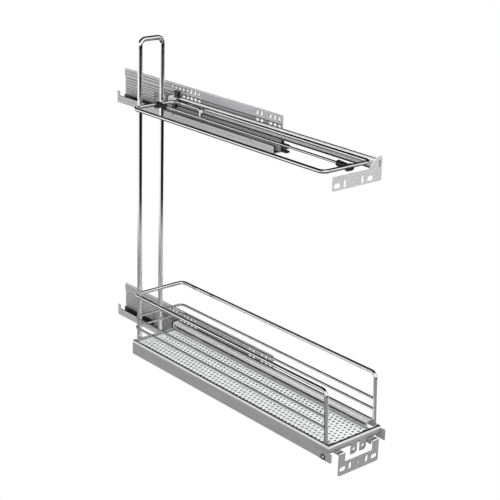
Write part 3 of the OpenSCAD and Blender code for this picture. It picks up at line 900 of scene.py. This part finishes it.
@dataclass(frozen=True)
class MovingProfileLines:
    """Painted shade lines and painted highlights along the bent edges of one moving profile.

    Attributes:
        node: Moving profile that carries them.
        gap: Distance of the dark line on the room side from the profile's top in metres.
        inset: Distance of all lines from both ends in metres.
        far: Distance of the far dark line from the profile's far side in metres.
        groove: Distance of the fine groove from the same side in metres.
        near: Distance of the top's bright bend from the room side in metres.
        drop: Distance of the side's bright bend from the top in metres.
        gap_form: Cross-section of the dark line on the room side.
        far_form: Cross-section of the far dark line.
        groove_form: Cross-section of the fine groove.
        near_form: Cross-section of the top's bright bend.
        drop_form: Cross-section of the side's bright bend.
    """

    node: str
    gap: float
    inset: float = 2.0 * MM
    far: float = 2.1 * MM
    groove: float = 6.0 * MM
    near: float = 1.4 * MM
    drop: float = 2.6 * MM
    gap_form: Form = Form(Facing.ROOM, 2.6 * MM, 0.3 * MM)
    far_form: Form = Form(Facing.TOP, 3.8 * MM, 0.5 * MM)
    groove_form: Form = Form(Facing.TOP, 0.8 * MM, 0.15 * MM)
    near_form: Form = Form(Facing.TOP, 2.4 * MM, 0.25 * MM)
    drop_form: Form = Form(Facing.ROOM, 1.2 * MM, 0.15 * MM)

    def build(self) -> list[bpy.types.Object]:
        """Makes the painted shade lines as one piece and the painted highlights as another.

        Returns:
            Both pieces.
        """
        low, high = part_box(self.node)
        ends = (low.y + self.inset, high.y - self.inset)
        # Painted shade at the far edge, the groove and the gap; painted highlight on the two bent
        # edges.
        dark = (
            along_y(high.x - self.far, high.z, ends, self.far_form),
            along_y(high.x - self.groove, high.z, ends, self.groove_form),
            along_y(low.x, high.z - self.gap, ends, self.gap_form),
        )
        bright = (
            along_y(low.x + self.near, high.z, ends, self.near_form),
            along_y(low.x, high.z - self.drop, ends, self.drop_form),
        )
        return [
            ridge_object(f"{self.node}_lines", dark, PAINTED_SHADE),
            ridge_object(f"{self.node}_bends", bright, PAINTED_HIGHLIGHT),
        ]


@dataclass(frozen=True)
class TrayRimShade:
    """Painted shade along the top of the tray's near rim and front lip.

    Attributes:
        inset: Distance of the strip's centre from the tray's outer faces in metres.
        sunk: How far the strip is sunk into the rim in metres.
        rear_inset: Distance of its end from the tray's rear in metres.
        form: Cross-section of the strip.
    """

    inset: float = 1.8 * MM
    sunk: float = 0.1 * MM
    rear_inset: float = 3.0 * MM
    form: Form = Form(Facing.TOP, 2.2 * MM, 0.8 * MM)

    def build(self) -> list[bpy.types.Object]:
        """Makes the strip as one piece.

        Returns:
            The piece, in a list.
        """
        low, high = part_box("tray_shell")
        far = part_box("perforated_floor")[1].x
        top = high.z - self.sunk
        x = low.x + self.inset
        y = low.y + self.inset
        ridges = (
            along_y(x, top, (y, high.y - self.rear_inset), self.form),
            Ridge((x, y, top), (far, y, top), self.form),
        )
        return [ridge_object("tray_rim_shade", ridges, PAINTED_SHADE)]


@dataclass(frozen=True)
class LegStrip:
    """A strip across the top of each leg of the lower bracket.

    Attributes:
        name: Name of the piece.
        back: Distance of the strip from the bracket's front in metres.
        form: Cross-section of the strip.
        finish: Finish of the strip.
    """

    name: str
    back: float
    form: Form
    finish: Finish


@dataclass(frozen=True)
class LegBends:
    """Painted highlight on the bend and painted shade on the top of the lower bracket's two legs.

    Attributes:
        leg: Width of a leg in metres.
        inset: Distance of a strip's ends from the leg's sides in metres.
        strips: The strips, each on both legs.
    """

    leg: float = 12.0 * MM
    inset: float = 0.2 * MM
    # Painted light: a nearly white strip on each bend as highlight, a nearly black strip behind it
    # as shade.
    strips: tuple[LegStrip, ...] = (
        LegStrip("leg_bends", 1.3 * MM, Form(Facing.TOP, 2.2 * MM, 0.35 * MM), PAINTED_HIGHLIGHT),
        LegStrip("leg_shades", 4.4 * MM, Form(Facing.TOP, 3.4 * MM, 0.35 * MM), PAINTED_SHADE),
    )

    def build(self) -> list[bpy.types.Object]:
        """Makes the painted highlights as one piece and the painted shade strips as another.

        Returns:
            Both pieces.
        """
        low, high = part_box("door_bracket_lower")
        legs = ((low.x, low.x + self.leg), (high.x - self.leg, high.x))
        pieces = []
        for strip in self.strips:
            y = low.y + strip.back
            ridges = [
                Ridge((near + self.inset, y, high.z), (far - self.inset, y, high.z), strip.form)
                for near, far in legs
            ]
            pieces.append(ridge_object(strip.name, ridges, strip.finish))
        return pieces


@dataclass(frozen=True)
class Disc:
    """A flat ring or disc that faces the room.

    Attributes:
        place: Centre of its front face in metres.
        outer: Outer radius in metres.
        inner: Radius of its hole in metres.
        depth: Thickness in metres.
    """

    place: Point
    outer: float
    inner: float
    depth: float

    SIDES: ClassVar[int] = 32
    BEVEL_SHARE: ClassVar[float] = 0.12

    def add_to(self, mesh: bmesh.types.BMesh) -> None:
        """Adds the disc as a closed ring with a turned edge.

        Args:
            mesh: Mesh that takes the disc.
        """
        x, y, z = self.place
        bevel = self.BEVEL_SHARE * (self.outer - self.inner)
        profile = (
            (0.0, self.inner + bevel), (0.0, self.outer - bevel), (bevel, self.outer),
            (self.depth, self.outer), (self.depth, self.inner), (bevel, self.inner),
        )
        rings = []
        for side in range(self.SIDES):
            angle = 2.0 * math.pi * side / self.SIDES
            level, rise = math.cos(angle), math.sin(angle)
            rings.append([
                mesh.verts.new((x + back, y + radius * level, z + radius * rise))
                for back, radius in profile
            ])
        for side in range(self.SIDES):
            first, second = rings[side], rings[(side + 1) % self.SIDES]
            for corner in range(len(profile)):
                after = (corner + 1) % len(profile)
                mesh.faces.new((first[corner], first[after], second[after], second[corner]))


@dataclass(frozen=True)
class ScrewMark:
    """Black disc over the carrier's screw and a bright cross on it, both painted light.

    Attributes:
        radius: Outer radius of the ring in metres.
        hole: Radius of the ring's hole in metres.
        proud: How far the ring stands in front of the screw in metres.
        rooted: How far the ring reaches behind the carrier's face in metres.
        reach: Half of the cross's size along Y and Z in metres.
        form: Cross-section of the cross's bars.
    """

    radius: float = 4.7 * MM
    hole: float = 0.05 * MM
    proud: float = 0.2 * MM
    rooted: float = 0.4 * MM
    reach: float = 2.0 * MM
    form: Form = Form(Facing.ROOM, 1.1 * MM, 0.3 * MM)

    def build(self) -> list[bpy.types.Object]:
        """Makes the ring as one piece and the cross as another.

        Returns:
            Both pieces.
        """
        low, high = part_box("carrier_screws")
        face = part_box("front_carrier")[0].x
        x, y, z = low.x - self.proud, (low.y + high.y) / 2, (low.z + high.z) / 2
        # Painted light: the black disc covers the screw's head and recess as painted shade and
        # painted dark reflection; the cross is a painted highlight.
        mesh = bmesh.new()
        Disc((x, y, z), self.radius, self.hole, low.x - face + self.rooted).add_to(mesh)
        bars = [
            Ridge((x, y - self.reach, z - lean), (x, y + self.reach, z + lean), self.form)
            for lean in (side * self.reach for side in BOTH_SIDES)
        ]
        return [
            mesh_object("screw_painted_shade", mesh, BLACK, Body.RACK),
            ridge_object("screw_painted_highlight", bars, PAINTED_HIGHLIGHT),
        ]


@dataclass(frozen=True)
class PunchMarks:
    """Two punch marks on the channel of the upper wall profile, drawn as black discs of painted
    shade.

    Attributes:
        from_rear: Distance of one mark from the profile's rear end in metres.
        from_front: Distance of the other from its front end in metres.
        height: Height of both over the profile's foot in metres.
        radius: Outer radius in metres.
        hole: Inner radius in metres.
        depth: Thickness in metres.
        proud: How far they stand out in metres.
    """

    from_rear: float = 155.0 * MM
    from_front: float = 52.0 * MM
    height: float = 10.3 * MM
    radius: float = 1.1 * MM
    hole: float = 0.15 * MM
    depth: float = 0.2 * MM
    proud: float = 0.15 * MM

    def build(self) -> list[bpy.types.Object]:
        """Makes both marks as one piece.

        Returns:
            The piece, in a list.
        """
        low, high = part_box("wall_profile_upper")
        mesh = bmesh.new()
        # Painted shade: a black disc stands for the shade in each dimple.
        for y in (high.y - self.from_rear, low.y + self.from_front):
            place = (low.x - self.proud, y, low.z + self.height)
            Disc(place, self.radius, self.hole, self.depth).add_to(mesh)
        return [mesh_object("punch_marks", mesh, BLACK, Body.RUNNERS)]


@dataclass(frozen=True)
class PhotoCamera:
    """Camera that matches the photograph, solved in the rack's frame.

    Attributes:
        yaw: Turn towards +X, in degrees.
        pitch: Downward tilt, in degrees.
        roll: Turn about the view axis, in degrees.
        focal: Focal length as a share of the picture's width.
        place: Camera's place in metres.
        sensor: Width of the sensor in millimetres.
        clip: Nearest and furthest distance that it sees, in metres.
    """

    yaw: float = 41.455
    pitch: float = 19.767
    roll: float = 1.8412
    focal: float = 1317.24 / 500.0
    place: Point = (-1.30333, -1.51250, 0.88044)
    sensor: float = 36.0
    clip: Pair = (0.05, 60.0)

    def build(self) -> list[bpy.types.Object]:
        """Makes the camera and sets it as the scene's camera.

        Returns:
            The camera, in a list.
        """
        data = bpy.data.cameras.new("photo_camera")
        data.sensor_width = self.sensor
        data.lens = self.focal * data.sensor_width
        data.clip_start, data.clip_end = self.clip
        camera = scene_object("photo_camera", data)
        camera.matrix_world = Matrix.Translation(self.place) @ self.turn()
        bpy.context.scene.camera = camera
        return [camera]

    def turn(self) -> Matrix:
        """Works out how the camera is turned.

        Returns:
            The rotation, as a 4 by 4 matrix.
        """
        yaw, pitch, roll = (math.radians(angle) for angle in (self.yaw, self.pitch, self.roll))
        forward = Vector(
            (math.cos(pitch) * math.sin(yaw), math.cos(pitch) * math.cos(yaw), -math.sin(pitch))
        )
        level = Vector((math.cos(yaw), -math.sin(yaw), 0.0))
        upright = level.cross(forward)
        right = math.cos(roll) * level + math.sin(roll) * upright
        up = -math.sin(roll) * level + math.cos(roll) * upright
        return Matrix((right, up, -forward)).transposed().to_4x4()


@dataclass(frozen=True)
class AreaLamp:
    """One soft lamp, which gloss doesn't see.

    Attributes:
        name: Name of the lamp.
        place: Where it stands, in metres.
        aim: Point that it faces.
        size: Width and height in metres.
        power: Power in watts.
    """

    name: str
    place: Point
    aim: Point
    size: Pair
    power: float

    def build(self) -> bpy.types.Object:
        """Makes the lamp.

        Returns:
            The lamp.
        """
        data = bpy.data.lights.new(self.name, "AREA")
        data.shape = "RECTANGLE"
        data.size, data.size_y = self.size
        data.energy = self.power
        lamp = scene_object(self.name, data)
        lamp.location = self.place
        lamp.visible_glossy = False
        away = Vector(self.place) - Vector(self.aim)
        lamp.rotation_euler = away.to_track_quat("Z", "Y").to_euler()
        return lamp


@dataclass(frozen=True)
class Tent:
    """White light tent with dark openings and a grey table, as the metal mirrors it.

    Directions are given by their X, Y and Z parts. Each pair but the tones is a soft step in one
    of them, or in a slanting sum of two, from where an opening begins to where it is full.

    Attributes:
        lean: Share of X that is added to Z for the opening overhead.
        overhead: Step of that sum at the opening overhead.
        overhead_rear: Step in Y at its front end.
        overhead_foot: Step in Z at its foot.
        floor: Step in Z of the dark floor straight below.
        floor_rear: Step in Z of the floor's rear part.
        floor_rear_start: Step in Y where that part starts.
        floor_share: How dark the floor is, as a share of an opening.
        slope: Share of Z that is added to Y for the opening on the viewer's side.
        side: Step of that sum at the opening on the viewer's side.
        side_foot: Step in Z at its foot.
        side_top: Step in Z at its top.
        table: Step in Z of the grey table.
        table_end: Step in X at its end.
        table_share: How dark the table is, as a share of an opening.
        tones: Tone of the tent and tone of an opening.
    """

    lean: float = 0.35
    overhead: Pair = (0.06, 0.18)
    overhead_rear: Pair = (-0.55, -0.38)
    overhead_foot: Pair = (-0.02, 0.08)
    floor: Pair = (-0.47, -0.55)
    floor_rear: Pair = (-0.38, -0.44)
    floor_rear_start: Pair = (0.2, 0.4)
    floor_share: float = 0.95
    slope: float = -2.0
    side: Pair = (0.30, 0.15)
    side_foot: Pair = (-0.36, -0.30)
    side_top: Pair = (0.02, -0.10)
    table: Pair = (-0.30, -0.35)
    table_end: Pair = (0.90, 0.80)
    table_share: float = 0.72
    tones: Pair = (1.0, 0.01)

    def tone(self, wiring: Wiring) -> Socket:
        """Adds the nodes that give the tent's tone.

        Args:
            wiring: Nodes of the world.

        Returns:
            The socket that holds the tone.
        """
        x, y, z = wiring.axes("ShaderNodeTexCoord", "Generated")
        leaning = wiring.math(Sum.ADD, z, wiring.math(Sum.TIMES, x, self.lean))
        sloping = wiring.math(Sum.ADD, y, wiring.math(Sum.TIMES, z, self.slope))
        overhead = wiring.math(
            Sum.TIMES,
            wiring.band(leaning, *self.overhead),
            wiring.band(y, *self.overhead_rear),
            wiring.band(z, *self.overhead_foot),
        )
        floor_rear = wiring.math(
            Sum.TIMES, wiring.band(z, *self.floor_rear), wiring.band(y, *self.floor_rear_start)
        )
        floor = wiring.math(Sum.MOST, wiring.band(z, *self.floor), floor_rear)
        side = wiring.math(
            Sum.TIMES,
            wiring.band(sloping, *self.side),
            wiring.band(z, *self.side_foot),
            wiring.band(z, *self.side_top),
        )
        table = wiring.math(
            Sum.TIMES,
            wiring.band(z, *self.table),
            wiring.band(x, *self.table_end),
            self.table_share,
        )
        floor = wiring.math(Sum.TIMES, floor, self.floor_share)
        dark = wiring.math(Sum.MOST, overhead, floor, side, table)
        return wiring.ranged(dark, (0.0, 1.0), self.tones)


@dataclass(frozen=True)
class Studio:
    """Pale floor, world and lamps.

    Attributes:
        low: Height of the rack's lowest point in metres.
        drop: Distance of the floor below it in metres.
        span: Width of the floor in metres.
        floor_colour: Colour of the floor, as all but the camera see it.
        light: Strength of the world's soft light.
        tent: What metal mirrors.
        lamps: The lamps.
    """

    low: float
    drop: float = 0.55
    span: float = 16.0
    floor_colour: tuple[float, ...] = (0.8, 0.8, 0.8, 1.0)
    light: float = 0.5
    tent: Tent = Tent()
    lamps: tuple[AreaLamp, ...] = (
        AreaLamp("key_lamp", (-1.6, -1.0, 2.4), (0.0, 0.0, 0.2), (1.6, 1.6), 26.0),
        AreaLamp("fill_lamp", (1.6, -2.2, 1.4), (0.0, 0.0, 0.2), (1.6, 1.6), 22.0),
        AreaLamp("top_lamp", (0.2, 0.3, 2.6), (-0.05, 0.0, 0.0), (1.8, 1.8), 34.0),
    )

    def build(self) -> list[bpy.types.Object]:
        """Makes the whole studio.

        Returns:
            The floor and the lamps.
        """
        floor = self._floor()
        self._world()
        return [floor, *(lamp.build() for lamp in self.lamps)]

    def _floor(self) -> bpy.types.Object:
        """Makes the pale floor, which the camera sees as plain white.

        Returns:
            The floor.
        """
        mesh = bmesh.new()
        bmesh.ops.create_grid(mesh, x_segments=4, y_segments=4, size=self.span / 2)
        data = bpy.data.meshes.new("floor")
        mesh.to_mesh(data)
        mesh.free()
        floor = scene_object("floor", data)
        floor.location.z = self.low - self.drop
        material = bpy.data.materials.new("floor_white")
        wiring = Wiring(material)
        by_camera = wiring.add("ShaderNodeLightPath").outputs["Is Camera Ray"]
        matt = wiring.add("ShaderNodeBsdfDiffuse", {"Color": self.floor_colour}).outputs["BSDF"]
        glow = wiring.add("ShaderNodeEmission", {"Color": WHITE}).outputs["Emission"]
        surface = wiring.blended(by_camera, matt, glow)
        wiring.add("ShaderNodeOutputMaterial", {"Surface": surface})
        data.materials.append(material)
        floor.visible_glossy = False
        floor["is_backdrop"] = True
        return floor

    def _world(self) -> None:
        """Makes the world: plain white for the camera, the tent for gloss, soft light otherwise."""
        world = bpy.data.worlds.new("studio")
        bpy.context.scene.world = world
        wiring = Wiring(world)
        rays = wiring.add("ShaderNodeLightPath").outputs
        soft = wiring.backdrop(WHITE, self.light)
        mirrored = wiring.backdrop(self.tent.tone(wiring))
        by_gloss = wiring.blended(rays["Is Glossy Ray"], soft, mirrored)
        by_camera = wiring.blended(rays["Is Camera Ray"], by_gloss, wiring.backdrop(WHITE))
        wiring.add("ShaderNodeOutputWorld", {"Surface": by_camera})


def dress_nodes(frame: dict) -> None:
    """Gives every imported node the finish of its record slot, or its own where it has one.
    """
    for entry in frame["record"]["subparts"]:
        node = frame["nodes"][entry["node"]]
        material = bpy.data.materials[entry["material_slot"]]
        if not node.material_slots:
            node.data.materials.append(material)
        if entry["node"] in SPECIAL:
            material = bpy.data.materials[SPECIAL[entry["node"]].title]
        for place in node.material_slots:
            place.material = material
        LOG.info("%s: %s", entry["node"], material.name)


def main() -> None:
    """Builds the scene and reports each piece."""
    logging.basicConfig(level=logging.INFO)
    bpy.ops.object.select_all(action="SELECT")
    bpy.ops.object.delete()
    for material in list(bpy.data.materials):
        bpy.data.materials.remove(material)
    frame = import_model()
    low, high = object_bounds()
    cad = (Vector(low), Vector(high))
    for material in list(bpy.data.materials):
        material.name = f"packed_{material.name}"
    for finish in FINISHES:
        finish.build()
        LOG.info("finish %s", finish.title)
    dress_nodes(frame)
    assemblies: tuple[Assembly, ...] = (
        Welds(),
        WallProfileLines("wall_profile_lower"),
        WallProfileLines("wall_profile_upper"),
        MovingProfileLines("moving_profile_lower", 5.6 * MM),
        MovingProfileLines("moving_profile_upper", 11.0 * MM),
        TrayRimShade(),
        LegBends(),
        ScrewMark(),
        PunchMarks(),
        PhotoCamera(),
        Studio(cad[0].z),
    )
    for assembly in assemblies:
        for piece in assembly.build():
            LOG.info("%s: %s", type(assembly).__name__, piece.name)
    bpy.context.scene.view_settings.view_transform = "Standard"


if __name__ == "__main__":
    main()
